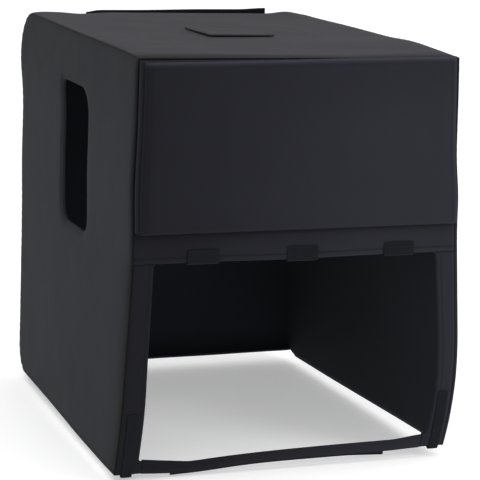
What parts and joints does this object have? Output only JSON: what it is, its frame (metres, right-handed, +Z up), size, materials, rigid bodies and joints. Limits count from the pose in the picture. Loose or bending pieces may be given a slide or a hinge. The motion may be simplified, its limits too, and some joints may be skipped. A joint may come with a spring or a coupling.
{
  "type": "padded speaker cover",
  "caption": "Hollow padded cloth cover for a box-shaped loudspeaker, with a front flap folded up over an open lower front, handle slots in both sides and an open base.",
  "frame": {"origin": "under the middle of the cover's top, where the top of the covered cabinet carries it", "axes": "+X is to the right seen from the front, +Y is from the front to the back, +Z is up"},
  "size_m": [0.5484, 0.6634, 0.6424],
  "materials": {
    "side_cloth": "matt padded polyester cloth, dark grey",
    "top_cloth": "matt padded polyester cloth, dark grey, lighter where the light falls on it",
    "front_cloth": "matt padded polyester cloth, charcoal",
    "tape": "black hook and loop tape"
  },
  "bodies": {
    "root": {"top_panel": "top_cloth", "left_side_panel": "side_cloth", "right_side_panel": "side_cloth", "back_panel": "side_cloth", "front_header": "front_cloth", "front_post_left": "front_cloth", "front_post_right": "front_cloth", "front_bottom_strip": "front_cloth", "front_flap": "front_cloth", "pole_flap": "top_cloth", "rear_flap": "side_cloth", "header_tab_left": "tape", "header_tab_middle": "tape", "header_tab_right": "tape", "post_strap_left": "tape", "post_strap_right": "tape", "bottom_hook_strip": "tape"}
  },
  "joints": []
}
